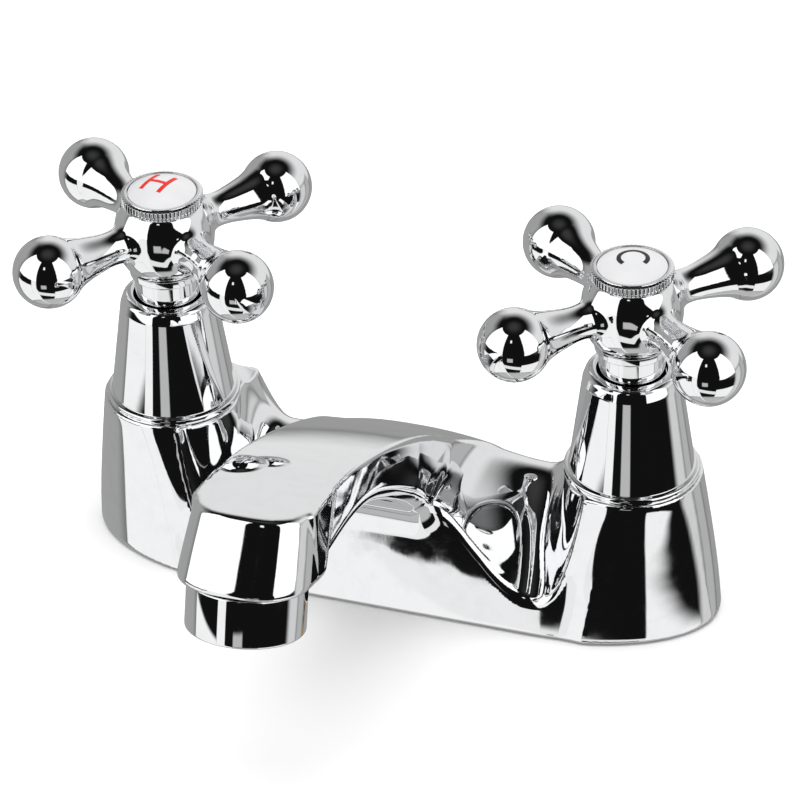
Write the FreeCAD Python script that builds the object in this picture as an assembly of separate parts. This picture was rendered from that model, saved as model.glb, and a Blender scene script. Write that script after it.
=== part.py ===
"""Two-hole bath mixer tap with cross handles, built as the real tap is built.

Frame: millimetres, +Z up, +X along the line of the two tap holes (cold side positive),
-Y towards the user and the spout.  The origin is on the deck, midway between the holes.
"""
import FreeCAD, Part
import math
import os

Vector = FreeCAD.Vector
UP = Vector(0, 0, 1)

# ---------------------------------------------------------------- driving dimensions
hole_spacing = 180.0        # centre to centre of the two tap holes
body_height = 61.0          # deck to the machined top of each tower
tower_top_radius = 24.7
tower_inset = 0.4
base_end = 31.8             # reach of the base past each hole
base_front = 31.0           # reach of the base in front of the hole line
base_back = 37.0            # reach of the base behind the hole line
base_bend = 30.0            # where the straight edges end, short of each hole
base_widest_y = 5.0         # where the rounded ends are widest
gasket_thickness = 2.0
gasket_inset = 3.0
gasket_proud = 0.6          # what the gasket stands out below the casting

spout_half_width = 21.5
casting_wall = 3.5
outlet_y = -163.0           # centre of the outlet's lower edge
outlet_z = 86.8
outlet_tilt = 15.0          # outlet axis leans this far, mouth forward
outlet_radius = 21.0
outlet_height = 18.0
outlet_spigot_radius = 17.5
outlet_bore_radius = 15.0
nose_radius = 24.3
nose_top_radius = 20.5
nose_height = 34.0

tail_radius = 13.22         # crest of the G 3/4 thread
tail_bore_radius = 9.0
tail_drop = 60.0            # deck to the lower end of the tail
tail_end_chamfer = 1.2
tail_groove_width = 2.0     # thread run-out below the back nut
tail_groove_depth = 1.0
deck_thickness = 20.0       # bath rim that the tap is clamped to
deck_washer_thickness = 2.0
back_nut_flats = 36.0
back_nut_thickness = 9.0

tail_top = 9.0
tail_seal_thickness = 1.5
seat_top = 14.0
seat_hole_radius = 8.0
chamber_radius = 11.5
bonnet_thread_depth = 15.0  # from the tower's top down to the valve chamber
port_z = 24.0
port_radius = 5.0

cage_radius = 10.3
cage_bore_radius = 8.6
seat_seal_thickness = 1.5
disc_thickness = 3.5
bonnet_thread_radius = 13.2
bonnet_seal_thickness = 1.5
bonnet_hex_flats = 27.0
bonnet_hex_height = 7.5
neck_radius = 11.0
neck_height = 37.0          # above the tower's top

spindle_radius = 5.0
spline_radius = 4.0
spline_teeth = 20
spline_depth = 0.35
spindle_engagement = 24.0   # splined end inside the collar
o_ring_section = 2.0
tang_width = 3.0
ring_groove_heights = (40.0, 47.0)
clip_thickness = 0.9
clip_groove_radius = 4.3
clip_land = 0.7             # plain land between the clip and the spline
thrust_flange_radius = 7.9
thrust_flange_thickness = 3.0

shroud_bottom_radius = 23.2
shroud_top_radius = 17.9
shroud_height = 44.8
shroud_wall = 1.6
shroud_mouth_radius = 13.6
bead_radius = 25.05
bead_height = 2.6
shroud_seal_thickness = 1.0

collar_radius = 12.2
collar_step = 1.5
collar_sink = 6.8           # how far the collar enters the shroud's mouth
collar_height = 18.0
hub_radius = 18.6
hub_widest = 15.0           # above the hub's foot
hub_height = 28.0
hub_top_radius = 14.0
socket_radius = 9.0
socket_depth = 10.0
web_thickness = 2.0
arm_count = 4
arm_ball_radius = 13.4
arm_ball_reach = 49.62      # hub axis to the centre of a ball
arm_neck_radius = 6.4
arm_height = 15.8           # above the hub's foot
hot_rest_turn = 53.3        # first arm from +X at the closed position
cold_rest_turn = 49.0
hot_mark_turn = -12.0       # the letters as they happen to sit at rest
cold_mark_turn = -71.0
hot_mark_place = (-1.9, 1.6)    # each letter's middle, off the disc's centre
cold_mark_place = (0.0, 1.0)

cap_ring_radius = 15.0
cap_ring_height = 4.2
cap_teeth = 60
cap_tooth_depth = 0.6
cap_disc_radius = 12.9
cap_disc_dome = 3.2
cap_spigot_radius = 11.0
letter_height = 12.0
letter_stroke = 1.6
letter_proud = 0.12

screw_radius = 2.0
screw_head_radius = 4.0
screw_head_height = 2.6

# named clearances
thread_gap = 0.05           # screwed or pushed joints inside one assembly
running_gap = 0.04          # radial gap of a turning shaft
face_gap = 0.03             # between faces that slide on each other

# ---------------------------------------------------------------- heights that follow
base_half_length = hole_spacing / 2 + base_end
base_straight = hole_spacing / 2 - base_bend
back_nut_bottom = -deck_thickness - deck_washer_thickness - back_nut_thickness
chamber_top = body_height - bonnet_thread_depth
neck_top = body_height + neck_height
shroud_bottom = body_height + shroud_seal_thickness
shroud_top = shroud_bottom + shroud_height
collar_bottom = shroud_top - collar_sink
spindle_top = collar_bottom + spindle_engagement
hub_bottom = collar_bottom + collar_height
hub_centre_z = hub_bottom + hub_widest
hub_top = hub_bottom + hub_height
arm_z = hub_bottom + arm_height
bonnet_seat = body_height + bonnet_seal_thickness
hex_top = bonnet_seat + bonnet_hex_height
cage_bottom = seat_top + seat_seal_thickness
fixed_disc_bottom = cage_bottom + 0.4
moving_disc_bottom = fixed_disc_bottom + disc_thickness + face_gap
disc_top = moving_disc_bottom + disc_thickness
cage_cavity_top = 32.0
clip_bottom = neck_top + 0.1
web_bottom = hub_bottom + socket_depth
web_top = web_bottom + web_thickness
screw_recess_top = hub_top - 7.0
cap_seat = hub_top + cap_ring_height - 2.4
cap_disc_rim = hub_top + cap_ring_height - 0.2


# ---------------------------------------------------------------- shape helpers
def turned(points):
    """A solid of revolution about Z from its half section, a list of (radius, height)."""
    corners = [Vector(r, 0, z) for r, z in points]
    face = Part.Face(Part.makePolygon(corners + corners[:1]))
    return face.revolve(Vector(0, 0, 0), UP, 360)


def cylinder(radius, low, high, x=0.0, y=0.0):
    return Part.makeCylinder(radius, high - low, Vector(x, y, low), UP)


def tube(outer, inner, low, high):
    return cylinder(outer, low, high).cut(cylinder(inner, low - 1, high + 1))


def hexagon(flats, low, high):
    corner = flats / math.sqrt(3)
    turns = [math.radians(60 * i) for i in range(6)]
    ring = [Vector(corner * math.cos(turn), corner * math.sin(turn), low) for turn in turns]
    return Part.Face(Part.makePolygon(ring + ring[:1])).extrude(Vector(0, 0, high - low))


def toothed(teeth, tip, root, low, high):
    """A prism with straight-sided serrations round it."""
    ring = []
    for i in range(2 * teeth):
        radius = tip if i % 2 == 0 else root
        angle = math.pi * i / teeth
        ring.append(Vector(radius * math.cos(angle), radius * math.sin(angle), low))
    return Part.Face(Part.makePolygon(ring + ring[:1])).extrude(Vector(0, 0, high - low))


def closed_curve(points):
    curve = Part.BSplineCurve()
    curve.interpolate(points, PeriodicFlag=True)
    return Part.Wire(curve.toShape())


def rod(start, end, radius):
    """A drilled passage between two points, run on by part of its radius so that bends join up."""
    way = end.sub(start)
    run_on = way * (0.55 * radius / way.Length)
    return Part.makeCylinder(radius, way.Length + 2 * run_on.Length, start.sub(run_on), way)


def moved(shape, x):
    copy = shape.copy()
    copy.translate(Vector(x, 0, 0))
    return copy


def at_outlet(shape):
    """Takes a shape drawn about Z at the origin to the leaning outlet axis."""
    copy = shape.copy()
    copy.rotate(Vector(0, 0, 0), Vector(1, 0, 0), -outlet_tilt)
    copy.translate(Vector(0, outlet_y, outlet_z))
    return copy


# ---------------------------------------------------------------- the cast body
def quarter(centre, semi_x, semi_y, sign_x, sign_y):
    """A quarter of an ellipse, from its end on the Y axis to its end on the X axis."""
    def point(angle):
        return centre.add(Vector(sign_x * semi_x * math.sin(angle),
                                 sign_y * semi_y * math.cos(angle), 0))
    curve = Part.BSplineCurve()
    curve.interpolate([point(math.radians(a)) for a in range(0, 91, 15)])
    return curve.toShape()


def stadium(z, half_length, straight, front, back, widest_y):
    """The body's plan at one height: straight front and back, elliptical ends."""
    semi_x = half_length - straight
    right = Vector(straight, widest_y, z)
    left = Vector(-straight, widest_y, z)
    front_semi = front + widest_y
    back_semi = back - widest_y
    edges = [
        Part.makeLine(Vector(-straight, -front, z), Vector(straight, -front, z)),
        quarter(right, semi_x, front_semi, 1, -1),
        quarter(right, semi_x, back_semi, 1, 1),
        Part.makeLine(Vector(straight, back, z), Vector(-straight, back, z)),
        quarter(left, semi_x, back_semi, -1, 1),
        quarter(left, semi_x, front_semi, -1, -1),
    ]
    return Part.Wire(Part.__sortEdges__(edges))


def body_plan(share, z, inset=0.0):
    """The plan part-way from the base (0) to the tower tops (1)."""
    def between(low, high):
        return low + (high - low) * share
    end = between(base_half_length, hole_spacing / 2 + tower_top_radius)
    return stadium(z, end - inset, between(base_straight, hole_spacing / 2),
                   between(base_front, tower_top_radius) - inset,
                   between(base_back, tower_top_radius) - inset, between(base_widest_y, 0.0))


def envelope():
    heights = [(0.0, gasket_proud), (0.2, 0.4 * body_height), (0.62, 0.72 * body_height),
               (1.0, body_height)]
    return Part.makeLoft([body_plan(share, z) for share, z in heights], True, False)


def saddle_section(y, middle, shoulder, low, low_gap, rise_gap):
    """What is cleared above the bridge in one cross-plane: a hump between two troughs."""
    low_x = hole_spacing / 2 - low_gap
    rise_x = hole_spacing / 2 - rise_gap
    wall = rise_x + 18
    rise = body_height - low
    half = [(0.0, middle), (0.5 * spout_half_width, 0.5 * (middle + shoulder)),
            (spout_half_width, shoulder),
            (0.55 * spout_half_width + 0.45 * low_x, 0.45 * shoulder + 0.55 * low),
            (low_x, low), (0.4 * low_x + 0.6 * rise_x, low + 0.1 * rise), (rise_x, low + 0.4 * rise),
            (rise_x + 6, low + 0.82 * rise), (wall, body_height + 8), (wall, body_height + 25)]
    right = [Vector(x, y, z) for x, z in half]
    left = [Vector(-x, y, z) for x, z in reversed(half[1:])]
    curve = Part.BSplineCurve()
    curve.interpolate(left + right)
    lid = Part.makeLine(Vector(wall, y, body_height + 25), Vector(-wall, y, body_height + 25))
    return Part.Wire([curve.toShape(), lid])


def saddle_cutter():
    # y, height at the middle, at the spout's sides and at the trough, then how far the trough
    # and the rise to the tower stand from the hole's axis
    stations = [(-base_front - 6, 46, 41, 12, 30, 16), (-base_front + 2, 52, 47, 16.5, 30, 17),
                (-10, 58, 55, 28, 33, 20), (8, 56, 54, 41, 37, 24), (18, 51, 50, 44, 39, 24),
                (28, 42, 41, 38, 39, 22), (base_back + 4, 22, 21, 20, 39, 20)]
    return Part.makeLoft([saddle_section(*row) for row in stations], True, False)


def tower(x):
    """The round tower under a shroud, just inside the envelope so that only its inner side shows."""
    top = tower_top_radius - tower_inset
    foot = base_front - 0.3 * (base_front - tower_top_radius) - 2 * tower_inset
    frustum = [(0, body_height), (top, body_height), (foot, 0.3 * body_height), (0, 0.3 * body_height)]
    return moved(turned(frustum), x)


def spout_section(y, low, high, half_width):
    """A rounded section of the spout in one cross-plane."""
    points = []
    for i in range(24):
        angle = 2 * math.pi * i / 24
        c, s = math.cos(angle), math.sin(angle)
        points.append(Vector(half_width * math.copysign(abs(c) ** 0.55, c), y,
                             0.5 * (low + high)
                             + 0.5 * (high - low) * math.copysign(abs(s) ** 0.55, s)))
    return closed_curve(points)


# y, underside, top, half width
spout_stations = [(14, 18, 50, spout_half_width + 4), (-4, 22, 64.5, spout_half_width + 2),
                  (-22, 38, 79, spout_half_width + 1), (-40, 57, 90, spout_half_width),
                  (-58, 71, 99.5, spout_half_width), (-78, 84, 109, spout_half_width),
                  (-98, 93, 117.5, spout_half_width), (-118, 97, 124.5, spout_half_width),
                  (-136, 100, 128.5, spout_half_width - 0.5)]


def spout():
    return Part.makeLoft([spout_section(*row) for row in spout_stations], True, False)


def nose():
    """The downturned end of the spout, above the outlet ring."""
    block = at_outlet(turned([(0, outlet_height), (nose_radius - 1.2, outlet_height),
                              (nose_radius, outlet_height + 3),
                              (nose_radius - 0.6, outlet_height + 0.4 * nose_height),
                              (nose_top_radius, outlet_height + nose_height),
                              (0, outlet_height + nose_height)]))
    lid = Part.makeBox(120, 160, 60, Vector(-60, -120, 0))
    lid.rotate(Vector(0, 0, 0), Vector(1, 0, 0), -7)
    lid.translate(Vector(0, -136, 128.5))
    return block.cut(lid)


def waterway(side):
    """One side's passage, from the tail up to its valve chamber and across to the middle."""
    x = side * hole_spacing / 2
    passage = cylinder(tail_radius, -1, tail_top + tail_seal_thickness, x)
    passage = passage.fuse([
        cylinder(seat_hole_radius, tail_top, seat_top + 1, x),
        cylinder(chamber_radius, seat_top, chamber_top + 1, x),
        cylinder(bonnet_thread_radius + thread_gap, chamber_top, body_height + 1, x),
        rod(Vector(x - side * chamber_radius * 0.5, 3, port_z), Vector(0, 3, port_z), port_radius),
    ])
    return passage


def spout_channel():
    """The cored passage up the spout: the spout's own sections less the casting wall, then the nose."""
    cored = [spout_section(y, low + casting_wall, high - casting_wall, half_width - casting_wall)
             for y, low, high, half_width in spout_stations[1:-1]]
    passage = Part.makeLoft(cored, True, False)
    nose_room = at_outlet(cylinder(outlet_spigot_radius, outlet_height - 1,
                                   outlet_height + 0.6 * nose_height))
    return passage.fuse([nose_room, rod(Vector(0, 3, port_z), Vector(0, -8, 40), port_radius)])


def underside_hollow():
    """The cored pocket under the casting: the body less its wall, clear of the waterways."""
    low_cutter = saddle_cutter()
    low_cutter.translate(Vector(0, 0, -casting_wall - 1.5))
    heights = [(0.0, -1), (0.1, 0.3 * body_height), (0.45, 0.6 * body_height)]
    pocket = Part.makeLoft([body_plan(share, z, casting_wall) for share, z in heights], True, False)
    pocket = pocket.cut(low_cutter)
    boss = tail_radius + casting_wall
    lining = port_radius + 3
    keep = [cylinder(boss, -5, body_height, side * hole_spacing / 2) for side in (-1, 1)]
    keep.append(rod(Vector(-hole_spacing / 2, 3, port_z), Vector(hole_spacing / 2, 3, port_z), lining))
    keep.append(Part.makeBox(2 * spout_half_width + 8, base_front + base_back, body_height,
                             Vector(-spout_half_width - 4, -base_front, port_z - lining)))
    return pocket.cut(Part.makeCompound(keep))


def mixer_body():
    sides = (-1, 1)
    shell = envelope().cut(saddle_cutter())
    shell = shell.fuse([tower(side * hole_spacing / 2) for side in sides] + [spout(), nose()])
    shell = shell.cut(underside_hollow())
    rebate = Part.Face(body_plan(0.0, 0, gasket_inset - 0.2)).extrude(Vector(0, 0, gasket_thickness))
    shell = shell.cut(rebate)
    for side in sides:
        shell = shell.cut(waterway(side))
    return shell.cut(spout_channel())


# ---------------------------------------------------------------- under the deck
def base_gasket():
    sheet = Part.Face(body_plan(0.0, 0, gasket_inset)).extrude(Vector(0, 0, gasket_thickness))
    for side in (-1, 1):
        sheet = sheet.cut(cylinder(tail_radius + 0.3, -1, gasket_thickness + 1,
                                   side * hole_spacing / 2))
    return sheet


def inlet_tail():
    """Threaded brass tail, screwed into the casting from below."""
    groove = tail_radius - tail_groove_depth
    return turned([(tail_bore_radius, -tail_drop), (tail_radius - tail_end_chamfer, -tail_drop),
                   (tail_radius, -tail_drop + tail_end_chamfer),
                   (tail_radius, back_nut_bottom - tail_groove_width),
                   (groove, back_nut_bottom - tail_groove_width), (groove, back_nut_bottom),
                   (tail_radius, back_nut_bottom), (tail_radius, tail_top),
                   (tail_bore_radius, tail_top)])


def tail_seal():
    return tube(tail_radius - 0.2, tail_bore_radius, tail_top, tail_top + tail_seal_thickness)


def deck_washer():
    top = -deck_thickness
    return tube(back_nut_flats / 2 + 1, tail_radius + thread_gap, top - deck_washer_thickness, top)


def back_nut():
    top = -deck_thickness - deck_washer_thickness
    nut = hexagon(back_nut_flats, top - back_nut_thickness, top)
    return nut.cut(cylinder(tail_radius + thread_gap, top - back_nut_thickness - 1, top + 1))


def pair(shape):
    return Part.makeCompound([moved(shape, side * hole_spacing / 2) for side in (-1, 1)])


# ---------------------------------------------------------------- one valve, drawn about Z
def sector(inner, outer, low, high, start, sweep):
    block = Part.makeCylinder(outer, high - low, Vector(0, 0, low), UP, sweep)
    block.rotate(Vector(0, 0, 0), UP, start)
    return block.cut(cylinder(inner, low - 1, high + 1))


def bonnet():
    """The screwed headwork: disc cage, thread, hexagon and the neck that guides the spindle."""
    outside = turned([(0, cage_bottom), (cage_radius, cage_bottom), (cage_radius, chamber_top + 1),
                      (bonnet_thread_radius, chamber_top + 2), (bonnet_thread_radius, bonnet_seat),
                      (0, bonnet_seat)])
    outside = outside.fuse([hexagon(bonnet_hex_flats, bonnet_seat, hex_top),
                            cylinder(neck_radius, hex_top - 1, neck_top)])
    inside = turned([(0, cage_bottom - 1), (cage_bore_radius, cage_bottom - 1),
                     (cage_bore_radius, cage_cavity_top),
                     (spindle_radius + running_gap, cage_cavity_top),
                     (spindle_radius + running_gap, neck_top + 1),
                     (0, neck_top + 1)])
    shape = outside.cut(inside)
    for turn in (0, 90, 180, 270):
        window = Part.makeBox(2 * cage_radius, 8, 4.2, Vector(0, -4, disc_top + 1))
        window.rotate(Vector(0, 0, 0), UP, turn)
        shape = shape.cut(window)
    return shape


def bonnet_seal():
    return tube(bonnet_hex_flats / 2, bonnet_thread_radius + thread_gap, body_height, bonnet_seat)


def seat_seal():
    return tube(cage_radius, seat_hole_radius + 0.2, seat_top, cage_bottom)


def ceramic_disc(radius, bottom, slot_width=0.0):
    disc = cylinder(radius, bottom, bottom + disc_thickness)
    for start in (45, 225):
        disc = disc.cut(sector(1.6, 6.4, bottom - 1, bottom + disc_thickness + 1, start, 90))
    if slot_width:
        slot = Part.makeBox(2 * radius + 2, slot_width, 1.6,
                            Vector(-radius - 1, -slot_width / 2, bottom + disc_thickness - 1.5))
        disc = disc.cut(slot)
    return disc


def fixed_disc():
    return ceramic_disc(cage_bore_radius - thread_gap, fixed_disc_bottom)


def moving_disc():
    return ceramic_disc(cage_bore_radius - 0.15, moving_disc_bottom, tang_width + 0.1)


def spindle():
    """Brass spindle: tang, thrust flange, two ring grooves, clip groove and splined top."""
    groove = spindle_radius - o_ring_section + 0.6
    flange_top = cage_cavity_top - face_gap
    land_top = clip_bottom + clip_thickness + 0.1 + clip_land
    section = [(0, disc_top), (spindle_radius - 1, disc_top),
               (spindle_radius - 1, flange_top - thrust_flange_thickness),
               (thrust_flange_radius, flange_top - thrust_flange_thickness),
               (thrust_flange_radius, flange_top),
               (spindle_radius, flange_top)]
    for height in ring_groove_heights:
        section += [(spindle_radius, height), (groove, height), (groove, height + o_ring_section + 0.2),
                    (spindle_radius, height + o_ring_section + 0.2)]
    section += [(spindle_radius, clip_bottom), (clip_groove_radius, clip_bottom),
                (clip_groove_radius, clip_bottom + clip_thickness + 0.1),
                (spindle_radius, clip_bottom + clip_thickness + 0.1),
                (spindle_radius, land_top), (0, land_top)]
    shape = turned(section)
    shape = shape.fuse(toothed(spline_teeth, spline_radius, spline_radius - spline_depth,
                               land_top - 0.5, spindle_top))
    tang = Part.makeBox(12, tang_width, 1.4, Vector(-6, -tang_width / 2, disc_top - 1.3))
    shape = shape.fuse(tang)
    return shape.cut(cylinder(screw_radius + thread_gap, spindle_top - 18, spindle_top + 1))


def spindle_o_rings():
    outer = spindle_radius + running_gap / 4
    inner = spindle_radius - o_ring_section + 0.6 + thread_gap
    lows = [height + 0.1 for height in ring_groove_heights]
    return Part.makeCompound([tube(outer, inner, low, low + o_ring_section) for low in lows])


def spindle_clip():
    ring = tube(6.8, clip_groove_radius + 0.02, clip_bottom, clip_bottom + clip_thickness)
    return ring.cut(Part.makeBox(10, 5, 3, Vector(0, -2.5, clip_bottom - 1)))


def shroud():
    """The tall conical cover, with its bead at the foot and a threaded land inside."""
    top = shroud_top
    outside = [(bead_radius - 0.8, shroud_bottom), (bead_radius, shroud_bottom + 0.8),
               (bead_radius, shroud_bottom + bead_height - 0.8),
               (bead_radius - 0.8, shroud_bottom + bead_height),
               (shroud_bottom_radius, shroud_bottom + bead_height + 0.3), (shroud_top_radius, top - 5),
               (shroud_top_radius - 0.9, top - 2), (shroud_top_radius - 2.2, top - 0.5),
               (shroud_mouth_radius + 0.6, top),
               (shroud_mouth_radius, top - 0.6)]
    inside = [(shroud_mouth_radius, neck_top - 1), (neck_radius + thread_gap, neck_top - 1),
              (neck_radius + thread_gap, neck_top - 9),
              (shroud_top_radius - shroud_wall - 0.6, neck_top - 9),
              (shroud_bottom_radius - shroud_wall, shroud_bottom + bead_height),
              (shroud_bottom_radius - shroud_wall, shroud_bottom)]
    return turned(outside + inside)


def shroud_seal():
    return tube(shroud_bottom_radius, shroud_bottom_radius - 2, body_height, shroud_bottom)


# ---------------------------------------------------------------- one handle, drawn about Z
def arm():
    """One club-shaped arm, drawn along +X from the hub axis."""
    neck = arm_neck_radius
    reach = arm_ball_reach
    ball = arm_ball_radius
    curve = Part.BSplineCurve()
    touch = math.radians(128)
    blend = Vector(reach + ball * math.cos(touch), 0, ball * math.sin(touch))
    curve.interpolate([Vector(8, 0, neck + 2.4), Vector(17, 0, neck + 1.0), Vector(23, 0, neck),
                       Vector(31, 0, neck + 1.2), blend],
                      Tangents=[Vector(1, 0, -0.3), Vector(1, 0, -0.2), Vector(1, 0, 0),
                                Vector(1, 0, 0.35), Vector(math.sin(touch), 0, -math.cos(touch))],
                      TangentFlags=[True, False, True, False, True])
    middle = Vector(reach + ball * math.cos(math.radians(64)), 0, ball * math.sin(math.radians(64)))
    tip = Vector(reach + ball, 0, 0)
    cap = Part.Arc(blend, middle, tip).toShape()
    base = Part.makePolygon([tip, Vector(8, 0, 0), Vector(8, 0, neck + 2.4)])
    outline = Part.Wire(Part.__sortEdges__([curve.toShape(), cap] + base.Edges))
    club = Part.Face(outline).revolve(Vector(0, 0, 0), Vector(1, 0, 0), 360)
    club.translate(Vector(0, 0, arm_z))
    return club


def handle(rest_turn):
    """Cast cross handle: globe hub, four arms, splined-bush socket and screw recess."""
    low = Vector(collar_radius + 1.2, 0, hub_bottom)
    wide = Vector(hub_radius, 0, hub_centre_z)
    high = Vector(hub_top_radius, 0, hub_top)
    lower = Vector(0.5 * (low.x + wide.x) + 1.2, 0, low.z + 0.42 * (wide.z - low.z))
    upper = Vector(0.5 * (wide.x + high.x) + 1.0, 0, wide.z + 0.6 * (high.z - wide.z))
    shoulder = Part.BSplineCurve()
    shoulder.interpolate([low, lower, wide, upper, high])
    sides = Part.makePolygon([high, Vector(0, 0, hub_top), Vector(0, 0, hub_bottom), low])
    outline = Part.Wire(Part.__sortEdges__([shoulder.toShape()] + sides.Edges))
    shape = Part.Face(outline).revolve(Vector(0, 0, 0), UP, 360)
    arms = []
    for i in range(arm_count):
        one = arm()
        one.rotate(Vector(0, 0, 0), UP, 360 / arm_count * i)
        arms.append(one)
    shape = shape.fuse(arms)
    bore = turned([(0, hub_bottom - 1), (socket_radius, hub_bottom - 1), (socket_radius, web_bottom),
                   (screw_radius + 0.2, web_bottom), (screw_radius + 0.2, web_top),
                   (screw_head_radius + 1.5, web_top),
                   (screw_head_radius + 1.5, screw_recess_top),
                   (cap_spigot_radius + thread_gap, screw_recess_top),
                   (cap_spigot_radius + thread_gap, hub_top + 1), (0, hub_top + 1)])
    shape = shape.cut(bore)
    shape.rotate(Vector(0, 0, 0), UP, rest_turn)
    return shape


def handle_collar():
    """The splined bush under the hub, with a step ring where it meets the hub."""
    bush = turned([(0, collar_bottom), (collar_radius - 0.6, collar_bottom),
                   (collar_radius, collar_bottom + 0.6),
                   (collar_radius, hub_bottom - 2.2), (collar_radius + collar_step, hub_bottom - 1.8),
                   (collar_radius + collar_step, hub_bottom), (socket_radius - thread_gap, hub_bottom),
                   (socket_radius - thread_gap, web_bottom), (0, web_bottom)])
    bush = bush.cut(toothed(spline_teeth, spline_radius + thread_gap,
                            spline_radius - spline_depth + thread_gap, collar_bottom - 1, web_bottom + 1))
    return bush


def handle_screw():
    head = turned([(0, web_top), (screw_head_radius, web_top),
                   (screw_head_radius, web_top + 0.6 * screw_head_height),
                   (0.6 * screw_head_radius, web_top + screw_head_height),
                   (0, web_top + screw_head_height)])
    screw = head.fuse(cylinder(screw_radius, spindle_top - 15, web_top))
    for turn in (0, 90):
        slot = Part.makeBox(0.9, 4.4, 2, Vector(-0.45, -2.2, web_top + screw_head_height - 1.2))
        slot.rotate(Vector(0, 0, 0), UP, turn)
        screw = screw.cut(slot)
    return screw


def cap_ring():
    """The knurled ring that screws into the hub and holds the index disc."""
    rim_top = hub_top + cap_ring_height
    ring = toothed(cap_teeth, cap_ring_radius, cap_ring_radius - cap_tooth_depth,
                   hub_top, rim_top - 0.9)
    ring = ring.fuse([turned([(0, rim_top - 0.9), (cap_ring_radius - 0.4, rim_top - 0.9),
                              (cap_ring_radius - 0.9, rim_top), (0, rim_top)]),
                      cylinder(cap_spigot_radius, screw_recess_top + 0.3, hub_top)])
    ring = ring.cut(cylinder(cap_disc_radius + thread_gap, cap_seat, rim_top + 1))
    return ring.cut(cylinder(cap_spigot_radius - 2, screw_recess_top - 1, rim_top))


def dome(proud):
    """The index disc's domed solid, raised by a small amount."""
    radius = cap_disc_radius
    rim = cap_disc_rim + proud
    edge = Vector(radius, 0, rim)
    crown = Vector(0, 0, rim + cap_disc_dome)
    curve = Part.BSplineCurve()
    curve.interpolate([edge, Vector(radius * 0.5, 0, rim + cap_disc_dome * 0.75), crown],
                      Tangents=[Vector(-1, 0, 2 * cap_disc_dome / radius),
                                Vector(-1, 0, cap_disc_dome / radius),
                                Vector(-1, 0, 0)], TangentFlags=[False, False, True])
    arc = curve.toShape()
    rest = Part.makePolygon([crown, Vector(0, 0, cap_seat), Vector(radius, 0, cap_seat), edge])
    outline = Part.Wire(Part.__sortEdges__([arc] + rest.Edges))
    return Part.Face(outline).revolve(Vector(0, 0, 0), UP, 360)


def letter_prism(letter):
    """A plain block letter about Z: H for hot or C for cold."""
    low = cap_disc_rim - 0.4
    depth = cap_disc_dome + 2
    half = letter_height / 2
    if letter == "H":
        width = 0.77 * letter_height
        posts = [Part.makeBox(letter_stroke, letter_height, depth, Vector(x, -half, low))
                 for x in (-width / 2, width / 2 - letter_stroke)]
        bar = Part.makeBox(width, letter_stroke, depth, Vector(-width / 2, -letter_stroke / 2, low))
        return bar.fuse(posts)
    opening = 95
    curl = Part.makeCylinder(half, depth, Vector(0, 0, low), UP, 360 - opening)
    curl.rotate(Vector(0, 0, 0), UP, opening / 2)
    return curl.cut(cylinder(half - letter_stroke, low - 1, low + depth + 1))


def placed_letter(letter, turn, place):
    prism = letter_prism(letter)
    prism.rotate(Vector(0, 0, 0), UP, turn)
    prism.translate(Vector(place[0], place[1], 0))
    return prism


def index_mark(letter, turn, place):
    return placed_letter(letter, turn, place).common(dome(letter_proud))


def index_disc(letter, turn, place):
    return dome(0.0).cut(placed_letter(letter, turn, place))


# ---------------------------------------------------------------- outlet
def outlet_ring():
    """The plated ring screwed into the nose, with a lip that keeps the straightener in."""
    ring = turned([(outlet_bore_radius - 1.5, 0), (outlet_radius - 0.8, 0), (outlet_radius, 0.8),
                   (outlet_radius, outlet_height - 0.2),
                   (outlet_spigot_radius - thread_gap, outlet_height - 0.2),
                   (outlet_spigot_radius - thread_gap, outlet_height + 7),
                   (outlet_bore_radius, outlet_height + 7),
                   (outlet_bore_radius, 2), (outlet_bore_radius - 1.5, 2)])
    return at_outlet(ring)


def flow_straightener():
    """A plastic disc pierced by rings of holes, which settles the stream."""
    disc = cylinder(outlet_bore_radius - thread_gap, 2, 10)
    holes = [cylinder(1.5, 1, 11)]
    for count, reach in ((6, 4.4), (12, 8.6), (18, 12.4)):
        for i in range(count):
            angle = 2 * math.pi * i / count
            holes.append(cylinder(1.35, 1, 11, reach * math.cos(angle), reach * math.sin(angle)))
    return at_outlet(disc.cut(Part.makeCompound(holes)))


def outlet_washer():
    return at_outlet(tube(outlet_spigot_radius - 0.2, outlet_bore_radius - 3,
                          outlet_height + 7, outlet_height + 9))


# ---------------------------------------------------------------- build everything
nodes = {
    "mixer_body": mixer_body(),
    "base_gasket": base_gasket(),
    "tail_seals": pair(tail_seal()),
    "deck_washers": pair(deck_washer()),
    "back_nuts": pair(back_nut()),
    "outlet_ring": outlet_ring(),
    "flow_straightener": flow_straightener(),
    "outlet_washer": outlet_washer(),
}

for name, side, letter, rest_turn, mark_turn, mark_place in (
        ("hot", -1, "H", hot_rest_turn, hot_mark_turn, hot_mark_place),
        ("cold", 1, "C", cold_rest_turn, cold_mark_turn, cold_mark_place)):
    pieces = {
        "inlet_tail": inlet_tail(),
        "valve_bonnet": bonnet(),
        "bonnet_seal": bonnet_seal(),
        "seat_seal": seat_seal(),
        "fixed_disc": fixed_disc(),
        "moving_disc": moving_disc(),
        "spindle": spindle(),
        "spindle_o_rings": spindle_o_rings(),
        "spindle_clip": spindle_clip(),
        "shroud": shroud(),
        "shroud_seal": shroud_seal(),
        "handle": handle(rest_turn),
        "handle_collar": handle_collar(),
        "handle_screw": handle_screw(),
        "cap_ring": cap_ring(),
        "index_disc": index_disc(letter, mark_turn, mark_place),
        "index_mark": index_mark(letter, mark_turn, mark_place),
    }
    for piece, shape in pieces.items():
        nodes[name + "_" + piece] = moved(shape, side * hole_spacing / 2)

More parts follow.
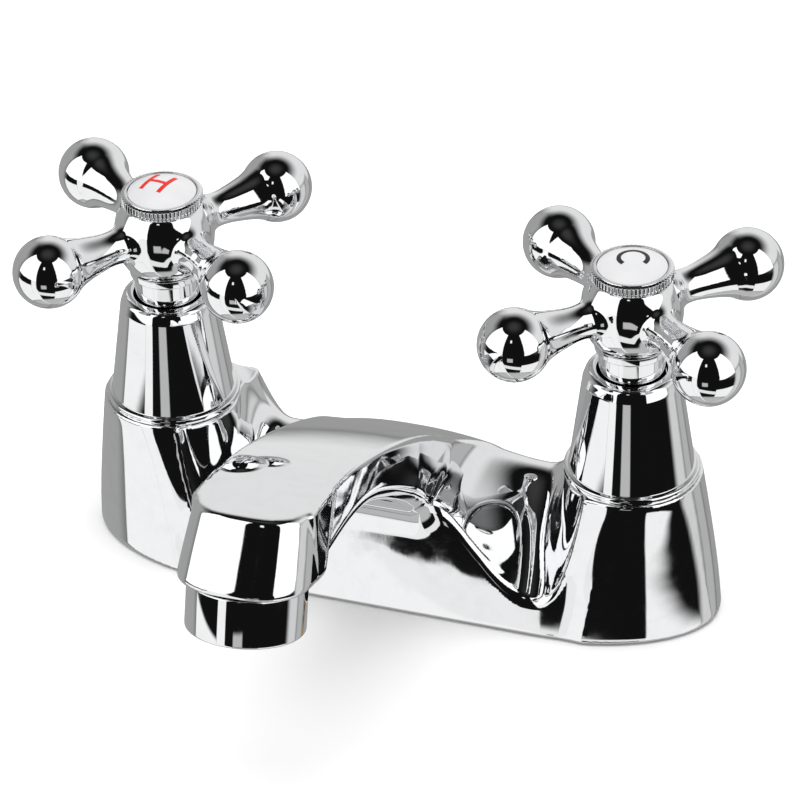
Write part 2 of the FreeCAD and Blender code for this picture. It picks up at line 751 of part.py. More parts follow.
os.makedirs("parts", exist_ok=True)
for name, shape in nodes.items():
    assert shape.isValid(), name
    shape.exportStep("parts/" + name + ".step")
    print(name, len(shape.Solids), round(shape.Volume / 1000, 2), "cm3")
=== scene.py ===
"""Two-hole bath mixer tap with cross handles: the visible pieces, their finishes and the studio."""
import math

import bmesh
import bpy
import numpy as np
import openvdb
from mathutils import Matrix, Vector


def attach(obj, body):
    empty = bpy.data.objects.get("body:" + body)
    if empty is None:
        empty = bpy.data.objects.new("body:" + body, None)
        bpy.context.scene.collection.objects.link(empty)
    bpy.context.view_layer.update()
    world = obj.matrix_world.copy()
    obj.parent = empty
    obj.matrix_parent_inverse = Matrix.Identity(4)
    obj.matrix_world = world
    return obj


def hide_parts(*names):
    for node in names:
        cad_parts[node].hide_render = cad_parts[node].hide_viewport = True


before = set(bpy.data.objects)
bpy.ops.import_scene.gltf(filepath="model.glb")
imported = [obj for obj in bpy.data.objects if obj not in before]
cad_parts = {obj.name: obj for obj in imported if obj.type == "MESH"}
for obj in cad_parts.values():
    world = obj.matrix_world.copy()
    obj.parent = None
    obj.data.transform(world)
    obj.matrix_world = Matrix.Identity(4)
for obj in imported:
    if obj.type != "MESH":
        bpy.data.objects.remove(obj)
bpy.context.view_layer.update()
mm = 0.001
AXIS_Z = Vector((0, 0, 1))

# ------------------------------------------------------------------ bright chrome plate
# All the plated castings and turnings share this finish: nickel and chrome over buffed brass.
# The plate follows slow waves left by the buffing wheel, with dry water marks and a few fine wipes.


def group_sockets(group, inputs, outputs):
    """Names a node group's sockets; each input is (name, value) and each output (name, kind)."""
    for name, value in inputs:
        socket = group.interface.new_socket(name, in_out="INPUT", socket_type="NodeSocketFloat")
        socket.default_value = value
    for name, kind in outputs:
        group.interface.new_socket(name, in_out="OUTPUT", socket_type=kind)


def add(tree, kind, **settings):
    """A new node with its settings; keys that begin with in_ set an input's value by its name."""
    node = tree.nodes.new(kind)
    for key, value in settings.items():
        if key.startswith("in_"):
            node.inputs[key[3:].replace("_", " ")].default_value = value
        else:
            setattr(node, key, value)
    return node


def plate_surface_group():
    """Roughness and height of buffed plate: waves, wipes and water marks."""
    group = bpy.data.node_groups.new("plate_surface", "ShaderNodeTree")
    group_sockets(group, [("Wave Size", 60.0), ("Wave Height", 0.02), ("Roughness Low", 0.03),
                          ("Roughness High", 0.09)],
                  [("Roughness", "NodeSocketFloat"), ("Height", "NodeSocketFloat"),
                   ("Film", "NodeSocketFloat")])
    enter = group.nodes.new("NodeGroupInput")
    leave = group.nodes.new("NodeGroupOutput")
    place = group.nodes.new("ShaderNodeTexCoord")
    wave = add(group, "ShaderNodeTexNoise", in_Detail=1.0)
    wipes = add(group, "ShaderNodeTexNoise", in_Scale=900.0, in_Detail=3.0)
    stretch = add(group, "ShaderNodeMapping", in_Scale=(1.0, 0.12, 0.3), in_Rotation=(0.3, 0.5, 0.2))
    marks = add(group, "ShaderNodeTexNoise", in_Scale=140.0, in_Detail=5.0, in_Roughness=0.6)
    spread = add(group, "ShaderNodeMapRange", in_From_Min=0.45, in_From_Max=0.75)
    rough = add(group, "ShaderNodeMapRange")
    wave_height = add(group, "ShaderNodeMath", operation="MULTIPLY")
    wipe_height = add(group, "ShaderNodeMath", operation="MULTIPLY")
    wipe_height.inputs[1].default_value = 0.0008
    total = add(group, "ShaderNodeMath", operation="ADD")
    link = group.links.new
    link(place.outputs["Object"], wave.inputs["Vector"])
    link(enter.outputs["Wave Size"], wave.inputs["Scale"])
    link(place.outputs["Object"], stretch.inputs["Vector"])
    link(stretch.outputs["Vector"], wipes.inputs["Vector"])
    link(place.outputs["Object"], marks.inputs["Vector"])
    link(marks.outputs["Fac"], spread.inputs["Value"])
    link(spread.outputs["Result"], rough.inputs["Value"])
    link(enter.outputs["Roughness Low"], rough.inputs["To Min"])
    link(enter.outputs["Roughness High"], rough.inputs["To Max"])
    link(wave.outputs["Fac"], wave_height.inputs[0])
    link(enter.outputs["Wave Height"], wave_height.inputs[1])
    link(wipes.outputs["Fac"], wipe_height.inputs[0])
    link(wave_height.outputs[0], total.inputs[0])
    link(wipe_height.outputs[0], total.inputs[1])
    link(rough.outputs["Result"], leave.inputs["Roughness"])
    link(total.outputs[0], leave.inputs["Height"])
    link(spread.outputs["Result"], leave.inputs["Film"])
    return group


plate_surface = plate_surface_group()


def chrome(name, wave_size, wave_height):
    """Bright chrome whose waviness suits the piece: castings ripple more than turnings."""
    material = bpy.data.materials.new(name)
    material.use_nodes = True
    tree = material.node_tree
    shader = tree.nodes["Principled BSDF"]
    shader.inputs["Metallic"].default_value = 1.0
    surface = add(tree, "ShaderNodeGroup", node_tree=plate_surface, in_Wave_Size=wave_size,
                  in_Wave_Height=wave_height, in_Roughness_Low=0.02, in_Roughness_High=0.06)
    tint = add(tree, "ShaderNodeMix", data_type="RGBA")
    tint.inputs["A"].default_value = (0.90, 0.905, 0.915, 1)
    tint.inputs["B"].default_value = (0.86, 0.865, 0.87, 1)
    bump = add(tree, "ShaderNodeBump", in_Strength=1.0, in_Distance=0.001)
    link = tree.links.new
    link(surface.outputs["Film"], tint.inputs["Factor"])
    link(tint.outputs["Result"], shader.inputs["Base Color"])
    link(surface.outputs["Roughness"], shader.inputs["Roughness"])
    link(surface.outputs["Height"], bump.inputs["Height"])
    link(bump.outputs["Normal"], shader.inputs["Normal"])
    return material


cast_chrome = chrome("cast_chrome", 55.0, 0.05)
handle_chrome = chrome("handle_chrome", 90.0, 0.05)
turned_chrome = chrome("turned_chrome", 40.0, 0.012)


# ------------------------------------------------------------------ the cast body
# One brass casting: a low skirt over both tap holes, two round towers, a saddle between them and
# a spout that sweeps up and forward to a downturned nose. Its blends are cast in, so it is worked
# out as one smooth field of distances and skinned.
half_spacing = 90.0
base_plane = 0.6
base_end = 121.8
base_straight = 60.0
base_front = 31.0
base_back = 37.0
base_widest = 5.0
tower_height = 61.0
tower_side = 24.7
tower_end = 114.7
outlet_axis_tilt = math.radians(15.0)
outlet_mouth = (0.0, -163.0, 86.8)
outlet_ring_height = 18.0


def smooth_line(knots, values):
    """A curve through the given points with continuous bending, as a function of the knots' axis."""
    x = np.array(knots, float)
    y = np.array(values, float)
    n = len(x)
    h = np.diff(x)
    system = np.eye(n)
    load = np.zeros(n)
    for i in range(1, n - 1):
        system[i, i - 1:i + 2] = (h[i - 1], 2 * (h[i - 1] + h[i]), h[i])
        load[i] = 6 * ((y[i + 1] - y[i]) / h[i] - (y[i] - y[i - 1]) / h[i - 1])
    bend = np.linalg.solve(system, load)

    def curve(at):
        at = np.clip(at, x[0], x[-1])
        i = np.clip(np.searchsorted(x, at) - 1, 0, n - 2)
        a = (x[i + 1] - at) / h[i]
        b = (at - x[i]) / h[i]
        sag = ((a ** 3 - a) * bend[i] + (b ** 3 - b) * bend[i + 1]) * h[i] ** 2 / 6
        return a * y[i] + b * y[i + 1] + sag
    return curve


def blend_union(a, b, width):
    reach = np.maximum(width - np.abs(a - b), 0) / width
    return np.minimum(a, b) - reach ** 2 * width / 4


def blend_cut(a, b, width):
    """Both fields must be inside: the edge where they meet is rounded."""
    return -blend_union(-a, -b, width)


# heights of the saddle along the body's depth: beside the spout, and in the trough each side
ridge_height = smooth_line((-38, -29, -10, 8, 18, 28, 41), (46, 52, 58, 56, 51, 42, 20))
trough_height = smooth_line((-38, -29, -10, 8, 18, 28, 41), (11.5, 16.5, 29, 41, 43.5, 37.5, 18))
trough_place = smooth_line((-38, -29, -10, 8, 18, 41), (60.5, 60, 57, 53, 51, 51))
# the spout's top and underside along its reach
spout_top = smooth_line((-215, -185, -165, -150, -136, -118, -98, -78, -58, -40, -22, -4, 14, 30, 60),
                        (135, 134.4, 132.9, 131.0, 128.6, 124.4, 117.5, 109, 99.5, 90, 79, 65.5, 50,
                         33, 3))
spout_underside = smooth_line((-215, -150, -136, -118, -98, -78, -58, -40, -22, -4, 20),
                              (99, 99, 98.5, 97.5, 93.5, 84.5, 71.5, 57, 38, 14, -20))
spout_slope = smooth_line((-215, -150, -118, -78, -40, -4, 20),
                          (0.97, 0.97, 0.95, 0.88, 0.86, 0.80, 0.78))


def skirt_field(x, y, z):
    """The body's outline at each height: straight front and back with elliptical ends."""
    rise = np.clip(z / tower_height, 0.0, 1.2) ** 1.6
    end = base_end + (tower_end - base_end) * rise
    straight = base_straight + (half_spacing - base_straight) * rise
    front = base_front + (tower_side - base_front) * rise
    back = base_back + (tower_side - base_back) * rise
    widest = base_widest * (1 - rise)
    across = np.maximum(np.abs(x) - straight, 0) / (end - straight)
    depth = y - widest
    semi = np.where(depth < 0, front + widest, back - widest)
    along = depth / semi
    share = np.sqrt(across ** 2 + along ** 2) + 1e-9
    fall = np.sqrt((across / (end - straight)) ** 2 + (along / semi) ** 2) + 1e-9
    return share * (share - 1) / fall


def saddle_field(x, y, z):
    low = trough_height(y)
    middle = ridge_height(y)
    place = trough_place(y)
    share = np.clip(np.abs(x) / place, 0, 1) ** 1.4
    hump = low + (middle - low) * 0.5 * (1 + np.cos(np.pi * share))
    climb = 34.0 * (np.maximum(np.abs(x) - place, 0) / 18.0) ** 2.6
    return (z - hump - climb) * 0.78


def tower_field(x, y, z):
    radius = 24.55 + (tower_height - z) * 0.105
    return np.maximum(np.hypot(np.abs(x) - half_spacing, y) - radius, z - tower_height)


def spout_field(x, y, z):
    top = spout_top(y)
    low = spout_underside(y)
    lean = spout_slope(y)
    half_width = 21.4 + 0.045 * np.maximum(y + 40, 0)
    corner = 8.0
    height = (top + 12 - low) / 2
    off = (z - (top + 12 + low) / 2) * lean
    side = np.abs(x) - (half_width - corner)
    over = np.abs(off) - (height * lean - corner)
    outside = np.hypot(np.maximum(side, 0), np.maximum(over, 0))
    inside = np.minimum(np.maximum(side, over), 0)
    tube = outside + inside - corner
    return tube, (z - top + 0.0025 * x ** 2) * lean


def nose_field(x, y, z):
    """The downturned end: a rounded front that leans back as it rises, and flat sides behind it."""
    c = math.cos(outlet_axis_tilt)
    s = math.sin(outlet_axis_tilt)
    dy = y - outlet_mouth[1]
    dz = z - outlet_mouth[2]
    up = dz * c + dy * s
    share = np.clip((up - outlet_ring_height) / 27.0, -0.4, 1.4)
    forth = dy * c - dz * s - 7.5 * share
    half = 23.7 - 2.6 * np.maximum(share, 0) ** 1.3
    deep = 22.4 - 3.2 * np.maximum(share, 0)
    power = 2.6
    round_front = np.abs(np.minimum(forth, 0) / deep) ** power
    ring = (np.abs(x / half) ** power + round_front + 1e-12) ** (1 / power)
    wall = (ring - 1) * deep * 0.97
    wall = blend_cut(wall, forth - 15.5, 4.0)
    return blend_cut(wall, outlet_ring_height - up, 3.0)


def body_field(x, y, z):
    skirt = skirt_field(x, y, z)
    bridge = blend_cut(np.maximum(skirt, z - tower_height), saddle_field(x, y, z), 2.2)
    towers = np.maximum(tower_field(x, y, z), skirt)
    shell = blend_union(bridge, towers, 7.0)
    tube, lid = spout_field(x, y, z)
    tube = np.maximum(tube, -(y + 172.0))
    arm = blend_union(np.maximum(tube, -150.0 - y), nose_field(x, y, z), 3.5)
    arm = blend_cut(arm, lid, 1.3)
    arm = np.maximum(arm, y - 34.0)
    shell = blend_union(shell, arm, 10.0)
    return blend_cut(shell, base_plane - z, 2.0)


def skinned(name, field, low, high, step):
    """A closed mesh on the zero surface of a field of distances, each point settled onto it."""
    axes = [np.arange(a, b + step, step, dtype=np.float32) for a, b in zip(low, high)]
    x, y, z = np.meshgrid(*axes, indexing="ij", sparse=True)
    slabs = [field(x[i:i + 40], y, z).astype(np.float32) for i in range(0, len(axes[0]), 40)]
    grid = openvdb.FloatGrid()
    grid.copyFromArray(np.concatenate(slabs))
    points, quads = grid.convertToQuads(isovalue=0.0)
    points = points.astype(float) * step + np.array(low, float)
    probe = 0.02
    for _ in range(3):
        px, py, pz = points.T
        value = field(px, py, pz)
        slope = np.stack([field(px + probe, py, pz) - field(px - probe, py, pz),
                          field(px, py + probe, pz) - field(px, py - probe, pz),
                          field(px, py, pz + probe) - field(px, py, pz - probe)], 1) / (2 * probe)
        steep = np.maximum((slope ** 2).sum(1), 0.2)
        move = -(value / steep)[:, None] * slope
        points += np.clip(move, -0.5 * step, 0.5 * step)
    mesh = bpy.data.meshes.new(name)
    mesh.from_pydata(points * mm, [], quads[:, ::-1])
    return finished(name, mesh)


def finished(name, mesh):
    """Shades a mesh smooth and puts it in the scene, standing at the origin."""
    shell = bmesh.new()
    shell.from_mesh(mesh)
    bmesh.ops.recalc_face_normals(shell, faces=shell.faces)
    shell.to_mesh(mesh)
    shell.free()
    for face in mesh.polygons:
        face.use_smooth = True
    piece = bpy.data.objects.new(name, mesh)
    bpy.context.scene.collection.objects.link(piece)
    return piece


skin_step = 1.0
body = skinned("cast_body", body_field, (-125, -190, -3), (125, 41, 136), skin_step)
body.data.materials.append(cast_chrome)
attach(body, "mixer")
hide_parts("mixer_body")


# ------------------------------------------------------------------ turned pieces: the outlet
# A plated brass ring screwed up into the nose, with a rolled lip that holds a plastic straightener.


def rounded(corners):
    """Points along an outline of (radius, height, fillet) corners, each fillet drawn as an arc."""
    points = []
    for i, (r, z, fillet) in enumerate(corners):
        here = Vector((r, z))
        if fillet == 0:
            points.append(here)
            continue
        before = (Vector(corners[i - 1][:2]) - here).normalized()
        after = (Vector(corners[(i + 1) % len(corners)][:2]) - here).normalized()
        half = before.angle(after) / 2
        centre = here + (before + after).normalized() * (fillet / math.sin(half))
        first = here + before * (fillet / math.tan(half))
        last = here + after * (fillet / math.tan(half))
        start = first - centre
        turn = start.angle_signed(last - centre)
        steps = 6
        for k in range(steps + 1):
            a = -turn * k / steps
            points.append(centre + Vector((start.x * math.cos(a) - start.y * math.sin(a),
                                           start.x * math.sin(a) + start.y * math.cos(a))))
    return points


def spun(name, outline, matrix, steps=120, closed=True, shape=None):
    """A closed turning about Z from its half outline in mm, put in place by a matrix."""
    turning = bmesh.new()
    ring = [turning.verts.new((p.x, 0, p.y)) for p in outline]
    pairs = list(zip(ring, ring[1:] + ring[:1] if closed else ring[1:]))
    edges = [turning.edges.new(pair) for pair in pairs]
    bmesh.ops.spin(turning, geom=ring + edges, cent=(0, 0, 0), axis=AXIS_Z, dvec=(0, 0, 0),
                   angle=2 * math.pi, steps=steps, use_merge=True)
    bmesh.ops.remove_doubles(turning, verts=turning.verts, dist=0.0005)
    if shape:
        shape(turning)
    bmesh.ops.recalc_face_normals(turning, faces=turning.faces)
    bmesh.ops.transform(turning, matrix=Matrix.Scale(mm, 4) @ matrix, verts=turning.verts)
    mesh = bpy.data.meshes.new(name)
    turning.to_mesh(mesh)
    turning.free()
    for face in mesh.polygons:
        face.use_smooth = True
    mesh.set_sharp_from_angle(angle=math.radians(50))
    piece = bpy.data.objects.new(name, mesh)
    bpy.context.scene.collection.objects.link(piece)
    return piece


at_outlet = Matrix.Translation(outlet_mouth) @ Matrix.Rotation(-outlet_axis_tilt, 4, "X")
ring_outline = rounded([(13.5, 0, 0.5), (21.0, 0, 1.1), (21.0, 17.6, 0.5), (17.4, 17.6, 0),
                        (17.4, 24.0, 0), (15.0, 24.0, 0), (15.0, 2.0, 0), (13.5, 2.0, 0.5)])
outlet = spun("outlet_rim", ring_outline, at_outlet)
outlet.data.materials.append(turned_chrome)
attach(outlet, "mixer")
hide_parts("outlet_ring")


# ------------------------------------------------------------------ the tall covers over the valves
# Spun brass cones, plated, pushed down over each valve's neck; a rolled bead stands on the tower.
cover_outline = rounded([(12.95, 106.7, 0.5), (16.6, 106.6, 2.6), (18.1, 102.2, 4.0), (23.2, 65.0, 0.4),
                         (25.05, 64.8, 1.0), (25.05, 62.0, 0.9), (21.6, 62.0, 0), (21.6, 65.0, 0),
                         (16.4, 101.5, 0), (15.6, 103.6, 0), (12.95, 103.6, 0)])
sides = {"hot": -half_spacing, "cold": half_spacing}
for side, x in sides.items():
    cover = spun(side + "_cover", cover_outline, Matrix.Translation((x, 0, 0)))
    cover.data.materials.append(turned_chrome)
    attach(cover, "mixer")
    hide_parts(side + "_shroud")


# ------------------------------------------------------------------ the cross handles
# Cast in one piece: a globe hub and four club arms that run into it with a small fillet.
hub_foot = 118.0
hub_crown = 146.0
hub_profile = smooth_line((112, 118, 124.3, 133, 140.8, 146, 150),
                          (9.0, 13.6, 17.3, 18.6, 17.2, 14.2, 10.5))
arm_profile = smooth_line((6, 12, 18, 23, 31, 36.5, 41.4, 43.5, 46),
                          (9.4, 8.2, 7.0, 6.4, 7.35, 8.6, 10.62, 11.92, 12.9))
arm_level = 133.8
ball_reach = 49.62
ball_radius = 13.4


def club_field(u, v, w):
    off = np.hypot(v, w)
    shaft = (off - arm_profile(u)) * 0.93
    ball = np.hypot(u - ball_reach, off) - ball_radius
    share = np.clip((u - 40.6) / 1.8, 0, 1)
    club = shaft * (1 - share) + ball * share
    return np.where(u < 4, 50.0, club)


def handle_field(x, y, z):
    around = np.hypot(x, y)
    hub = (around - hub_profile(z)) * 0.93
    hub = blend_cut(hub, z - hub_crown, 1.0)
    hub = blend_cut(hub, hub_foot - z, 1.0)
    w = z - arm_level
    arms = np.minimum(np.minimum(club_field(x, y, w), club_field(-x, -y, w)),
                      np.minimum(club_field(y, -x, w), club_field(-y, x, w)))
    return blend_union(hub, arms, 3.0)


handle_step = 0.62
cross = skinned("cross_shape", handle_field, (-65, -65, 116), (65, 65, 149), handle_step)
rest_turns = {"hot": 53.3, "cold": 49.0}
for side, x in sides.items():
    handle = bpy.data.objects.new(side + "_cross", cross.data.copy())
    bpy.context.scene.collection.objects.link(handle)
    place = Matrix.Translation((x * mm, 0, 0)) @ Matrix.Rotation(math.radians(rest_turns[side]), 4, "Z")
    handle.data.transform(place)
    handle.data.materials.append(handle_chrome)
    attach(handle, side + "_turning")
    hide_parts(side + "_handle")
bpy.data.objects.remove(cross)


# ------------------------------------------------------------------ the bushes under the hubs
# A splined bush fixed in each hub, plated where it shows, with a step ring against the hub.
bush_outline = rounded([(11.4, 100.0, 0.3), (12.2, 100.0, 0.3), (12.2, 115.2, 0.8), (13.7, 115.6, 0.6),
                        (13.7, 118.2, 0), (8.9, 118.2, 0), (8.9, 127.9, 0), (0, 127.9, 0), (0, 103.0, 0),
                        (11.4, 103.0, 0)])
for side, x in sides.items():
    bush = spun(side + "_bush", bush_outline, Matrix.Translation((x, 0, 0)))
    bush.data.materials.append(turned_chrome)
    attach(bush, side + "_turning")
    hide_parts(side + "_handle_collar")


# ------------------------------------------------------------------ the knurled rings on the hubs
# Turned, knurled round the foot, plated, and screwed down into the hub over the index disc.
knurl_teeth = 60
knurl_depth = 1.15
knurl_foot = 146.2
knurl_top = 149.75


def knurl(turning):
    """Cuts rounded ridges round the band between the foot and the bezel."""
    for vert in turning.verts:
        reach = math.hypot(vert.co.x, vert.co.y)
        if reach < 14.3 or not knurl_foot < vert.co.z < knurl_top:
            continue
        angle = math.atan2(vert.co.y, vert.co.x)
        ridge = abs(math.cos(knurl_teeth * angle / 2))
        edge = min(1.0, (vert.co.z - knurl_foot) / 0.4, (knurl_top - vert.co.z) / 0.4)
        share = 1 - knurl_depth * (1 - ridge) * edge / reach
        vert.co.x *= share
        vert.co.y *= share


band = [(15.2, 146.3 + 0.3 * i, 0) for i in range(12)]
bezel_outline = rounded([(13.05, 147.8, 0), (11.0, 147.8, 0), (11.0, 146.02, 0), (14.3, 146.02, 0.2)]
                        + band + [(14.15, 149.85, 0), (13.9, 150.2, 0.2), (13.05, 150.2, 0.25)])
for side, x in sides.items():
    ring = spun(side + "_bezel", bezel_outline, Matrix.Translation((x, 0, 0)), steps=480, shape=knurl)
    ring.data.materials.append(turned_chrome)
    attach(ring, side + "_turning")
    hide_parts(side + "_cap_ring")


# ------------------------------------------------------------------ index discs
# White enamelled buttons with a low dome; the letters are printed on them in enamel.


def matte(name, colour, other, rough, scale, depth=0.2, metallic=0.0, coat=0.0):
    """A plain finish with mottled colour and roughness and a fine grain."""
    material = bpy.data.materials.new(name)
    material.use_nodes = True
    tree = material.node_tree
    shader = tree.nodes["Principled BSDF"]
    shader.inputs["Metallic"].default_value = metallic
    shader.inputs["Coat Weight"].default_value = coat
    place = add(tree, "ShaderNodeTexCoord")
    mottle = add(tree, "ShaderNodeTexNoise", in_Scale=scale, in_Detail=4.0)
    grain = add(tree, "ShaderNodeTexNoise", in_Scale=scale * 12, in_Detail=2.0)
    tint = add(tree, "ShaderNodeMix", data_type="RGBA")
    tint.inputs["A"].default_value = (*colour, 1)
    tint.inputs["B"].default_value = (*other, 1)
    wear = add(tree, "ShaderNodeMapRange", in_To_Min=rough * 0.75, in_To_Max=min(1.0, rough * 1.3))
    bump = add(tree, "ShaderNodeBump", in_Strength=depth, in_Distance=0.0002)
    link = tree.links.new
    link(place.outputs["Object"], mottle.inputs["Vector"])
    link(place.outputs["Object"], grain.inputs["Vector"])
    link(mottle.outputs["Fac"], tint.inputs["Factor"])
    link(tint.outputs["Result"], shader.inputs["Base Color"])
    link(mottle.outputs["Fac"], wear.inputs["Value"])
    link(wear.outputs["Result"], shader.inputs["Roughness"])
    link(grain.outputs["Fac"], bump.inputs["Height"])
    link(bump.outputs["Normal"], shader.inputs["Normal"])
    return material


disc_enamel = matte("disc_enamel", (0.50, 0.50, 0.51), (0.55, 0.55, 0.555), 0.22, 120.0, 0.04)
hot_print = matte("hot_print", (0.50, 0.012, 0.008), (0.60, 0.02, 0.014), 0.5, 300.0, 0.1)
cold_print = matte("cold_print", (0.008, 0.008, 0.01), (0.02, 0.02, 0.023), 0.5, 300.0, 0.1)
button_radius = 12.7
button_rim = 150.0
button_dome = 3.2
dome_line = [(button_radius * (1 - i / 16), button_rim + button_dome * (1 - (1 - i / 16) ** 2), 0)
             for i in range(1, 17)]
button_outline = rounded([(0, 147.85, 0), (button_radius, 147.85, 0),
                          (button_radius, button_rim, 0.25)] + dome_line)
for side, x in sides.items():
    button = spun(side + "_button", button_outline, Matrix.Translation((x, 0, 0)), steps=96,
                  closed=False)
    button.data.materials.append(disc_enamel)
    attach(button, side + "_turning")
    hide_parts(side + "_index_disc")


# ------------------------------------------------------------------ pieces kept as they are turned
# The valve, seals, tails and nuts keep their machined shapes and take their own finishes.
raw_brass = matte("raw_brass", (0.62, 0.44, 0.18), (0.50, 0.35, 0.15), 0.28, 160.0, 0.25,
                  metallic=1.0)
spring_steel = matte("spring_steel", (0.42, 0.43, 0.45), (0.52, 0.53, 0.55), 0.24, 240.0, 0.2,
                     metallic=1.0)
black_rubber = matte("black_rubber", (0.018, 0.018, 0.02), (0.035, 0.035, 0.037), 0.62, 200.0, 0.4)
foam_rubber = matte("foam_rubber", (0.03, 0.03, 0.032), (0.07, 0.07, 0.072), 0.85, 420.0, 1.0)
fibre_seal = matte("fibre_seal", (0.32, 0.06, 0.04), (0.42, 0.12, 0.07), 0.7, 500.0, 0.6)
white_plastic = matte("white_plastic", (0.72, 0.73, 0.74), (0.8, 0.8, 0.81), 0.4, 150.0, 0.1)
grey_plastic = matte("grey_plastic", (0.30, 0.31, 0.32), (0.38, 0.385, 0.39), 0.45, 150.0, 0.12)
valve_ceramic = matte("valve_ceramic", (0.83, 0.82, 0.78), (0.9, 0.89, 0.86), 0.3, 260.0, 0.1)
finishes = {"raw_brass": raw_brass, "spring_steel": spring_steel, "black_rubber": black_rubber,
            "foam_rubber": foam_rubber, "fibre_seal": fibre_seal, "white_plastic": white_plastic,
            "grey_plastic": grey_plastic, "ceramic": valve_ceramic, "index_enamel": disc_enamel,
            "red_mark": hot_print, "dark_mark": cold_print, "chrome_body": cast_chrome,
            "chrome_trim": turned_chrome, "chrome_handle": handle_chrome}
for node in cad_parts.values():
    for slot in node.material_slots:
        slot.material = finishes[slot.material.name.split(".")[0]]


# ------------------------------------------------------------------ studio
# A white table, white walls of light at both sides, and an unlit gap ahead that the chrome shows
# as its black bands. The room is drawn in the world's light by compass direction and height.
table_size = 3.0
floor_mesh = bpy.data.meshes.new("table_top")
plan = bmesh.new()
bmesh.ops.create_grid(plan, x_segments=1, y_segments=1, size=table_size)
plan.to_mesh(floor_mesh)
plan.free()
floor = bpy.data.objects.new("table_top", floor_mesh)
bpy.context.scene.collection.objects.link(floor)
table_white = matte("table_white", (0.93, 0.93, 0.93), (0.95, 0.95, 0.95), 0.9, 30.0, 0.02)
floor.data.materials.append(table_white)
floor.visible_glossy = False


def window_group():
    """A soft-edged rectangle of sky: 1 inside the given compass and height limits, 0 outside."""
    group = bpy.data.node_groups.new("sky_window", "ShaderNodeTree")
    group_sockets(group, [("Azimuth", 0.0), ("Elevation", 0.0), ("From", -30.0), ("To", 30.0),
                          ("Low", 0.0), ("High", 60.0), ("Edge", 3.0)],
                  [("Mask", "NodeSocketFloat")])
    enter = group.nodes.new("NodeGroupInput")
    leave = group.nodes.new("NodeGroupOutput")
    link = group.links.new
    masks = []
    for value, limit, sign in (("Azimuth", "From", 1), ("Azimuth", "To", -1), ("Elevation", "Low", 1),
                               ("Elevation", "High", -1)):
        inside = add(group, "ShaderNodeMath", operation="SUBTRACT")
        scaled = add(group, "ShaderNodeMath", operation="DIVIDE")
        ramp = add(group, "ShaderNodeMapRange", interpolation_type="SMOOTHSTEP", in_From_Min=-0.5,
                   in_From_Max=0.5)
        ends = (value, limit) if sign > 0 else (limit, value)
        link(enter.outputs[ends[0]], inside.inputs[0])
        link(enter.outputs[ends[1]], inside.inputs[1])
        link(inside.outputs[0], scaled.inputs[0])
        link(enter.outputs["Edge"], scaled.inputs[1])
        link(scaled.outputs[0], ramp.inputs["Value"])
        masks.append(ramp.outputs["Result"])
    whole = masks[0]
    for mask in masks[1:]:
        product = add(group, "ShaderNodeMath", operation="MULTIPLY")
        link(whole, product.inputs[0])
        link(mask, product.inputs[1])
        whole = product.outputs[0]
    link(whole, leave.inputs["Mask"])
    return group


room = bpy.data.worlds.new("room")
bpy.context.scene.world = room
room.use_nodes = True
tree = room.node_tree
link = tree.links.new
background = tree.nodes["Background"]
direction = add(tree, "ShaderNodeTexCoord")
parts = add(tree, "ShaderNodeSeparateXYZ")
link(direction.outputs["Generated"], parts.inputs[0])
toward = add(tree, "ShaderNodeMath", operation="MULTIPLY")
toward.inputs[1].default_value = -1.0
link(parts.outputs["Y"], toward.inputs[0])
azimuth = add(tree, "ShaderNodeMath", operation="ARCTAN2")
link(parts.outputs["X"], azimuth.inputs[0])
link(toward.outputs[0], azimuth.inputs[1])
azimuth_degrees = add(tree, "ShaderNodeMath", operation="DEGREES")
link(azimuth.outputs[0], azimuth_degrees.inputs[0])
elevation = add(tree, "ShaderNodeMath", operation="ARCSINE")
link(parts.outputs["Z"], elevation.inputs[0])
elevation_degrees = add(tree, "ShaderNodeMath", operation="DEGREES")
link(elevation.outputs[0], elevation_degrees.inputs[0])
window = window_group()
# compass limits, height limits, edge softness in degrees, brightness, and how far the height
# limits lean with the compass
lights = [
    # walls of light at the left and right, and a slit ahead
    (-82, -17.8, -1, 59, 1.5, 1.25, 0.0), (48, 100, -5, 59, 2, 1.25, 0.0), (2, 9, 38, 46, 3, 1.1, 0.0),
    # the grey room behind, and its dim ceiling
    (-150, -82, -95, 38, 26, 0.36, 0.0), (-190, -150, -14, 26, 12, 0.80, 0.0),
    (-200, -140, 0, 40, 36, 0.80, 0.0), (-190, -150, -95, -14, 8, 0.33, 0.0),
    (100, 155, 0, 24, 10, 0.80, 0.0), (145, 190, -14, 26, 12, 0.80, 0.0),
    (88, 200, 0, 40, 36, 0.80, 0.0), (-190, 190, 75, 110, 24, 0.035, 0.0),
    # the table: lit at both sides, in shade ahead
    (-82, -33, -62, -16, 2, 0.97, 0.0), (-33, -17.8, -62, -1, 0.8, 0.97, 0.0),
    (40, 100, -62, -35, 2, 0.95, 0.0), (40, 100, -34, -36.5, 2, 0.95, -0.3),
    (-3, 13, -23, -11, 2.5, 0.5, 0.0), (-20, -13, -200, -58, 0.8, 0.9, 1.9),
    (-13.5, 40, -46, -35, 1.5, 0.85, 0.15), (100, 125, -90, 0, 12, 0.66, 0.0),
    (125, 150, -90, 0, 12, 0.46, 0.0), (150, 190, -90, 0, 12, 0.34, 0.0),
    (-82, 100, -95, -62, 8, 0.5, 0.0)]
total = None
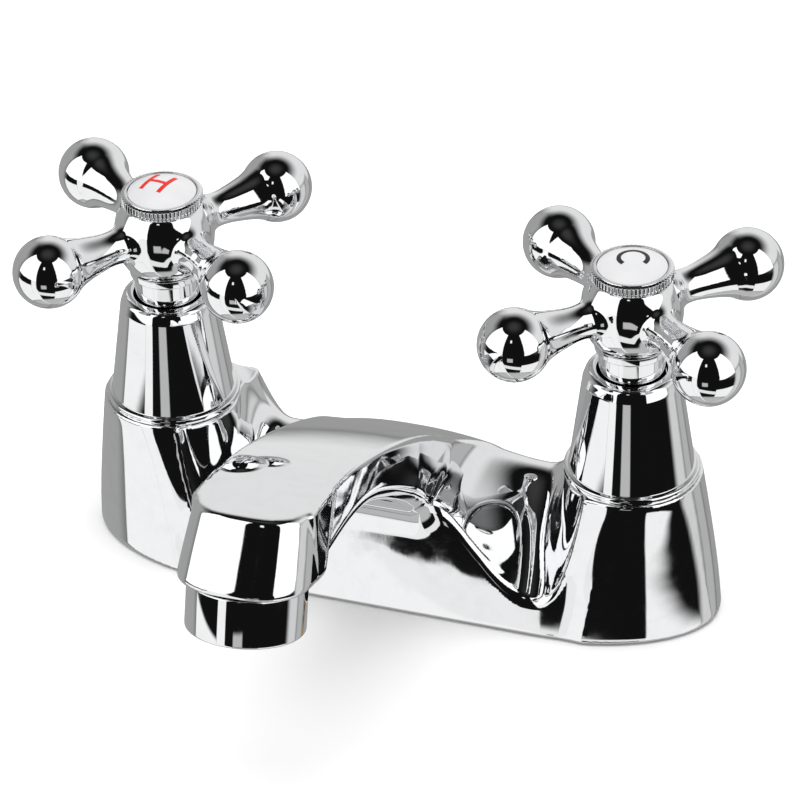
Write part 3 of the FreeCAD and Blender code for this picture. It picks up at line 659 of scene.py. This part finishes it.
for low, high, bottom, top, soft, strength, lean in lights:
    part = add(tree, "ShaderNodeGroup", node_tree=window, in_From=low, in_To=high, in_Low=bottom,
               in_High=top, in_Edge=soft)
    leaning = add(tree, "ShaderNodeMath", operation="MULTIPLY_ADD")
    leaning.inputs[1].default_value = lean
    link(azimuth_degrees.outputs[0], leaning.inputs[0])
    link(elevation_degrees.outputs[0], leaning.inputs[2])
    link(azimuth_degrees.outputs[0], part.inputs["Azimuth"])
    link(leaning.outputs[0], part.inputs["Elevation"])
    scaled = add(tree, "ShaderNodeMath", operation="MULTIPLY")
    scaled.inputs[1].default_value = strength
    link(part.outputs["Mask"], scaled.inputs[0])
    if total is None:
        total = scaled.outputs[0]
        continue
    brightest = add(tree, "ShaderNodeMath", operation="MAXIMUM")
    link(total, brightest.inputs[0])
    link(scaled.outputs[0], brightest.inputs[1])
    total = brightest.outputs[0]
stray_light = add(tree, "ShaderNodeMath", operation="ADD")
stray_light.inputs[1].default_value = 0.006
link(total, stray_light.inputs[0])
link(stray_light.outputs[0], background.inputs["Color"])

lamp_data = bpy.data.lights.new("overhead", "AREA")
lamp_data.shape = "DISK"
lamp_data.size = 2.4
lamp_data.energy = 62.0
lamp = bpy.data.objects.new("overhead", lamp_data)
lamp.location = (0.1, -0.1, 2.0)
lamp.visible_glossy = False
bpy.context.scene.collection.objects.link(lamp)
bpy.context.scene.view_settings.view_transform = "Standard"
bpy.context.scene.view_settings.look = "None"


# ------------------------------------------------------------------ camera
# Stands off in front, to the right and well above the deck, with a long lens.
camera_azimuth = math.radians(19.685)
camera_elevation = math.radians(34.075)
camera_roll = math.radians(-1.739)
camera_distance = 1747.9
aim_height = 63.8
aim_across = -0.13
aim_up = -9.08
lens_data = bpy.data.cameras.new("camera")
lens_data.sensor_width = 36.0
lens_data.lens = 211.2
lens_data.clip_start = 0.1
lens_data.clip_end = 20.0
camera = bpy.data.objects.new("camera", lens_data)
back = Vector((math.sin(camera_azimuth) * math.cos(camera_elevation),
               -math.cos(camera_azimuth) * math.cos(camera_elevation), math.sin(camera_elevation)))
right = Vector((math.cos(camera_azimuth), math.sin(camera_azimuth), 0))
up = back.cross(right)
rolled_right = right * math.cos(camera_roll) + up * math.sin(camera_roll)
rolled_up = up * math.cos(camera_roll) - right * math.sin(camera_roll)
stand = back * camera_distance - rolled_right * aim_across - rolled_up * aim_up + AXIS_Z * aim_height
camera.matrix_world = (Matrix.Translation(stand * mm)
                       @ Matrix((rolled_right, rolled_up, back)).transposed().to_4x4())
bpy.context.scene.collection.objects.link(camera)
bpy.context.scene.camera = camera
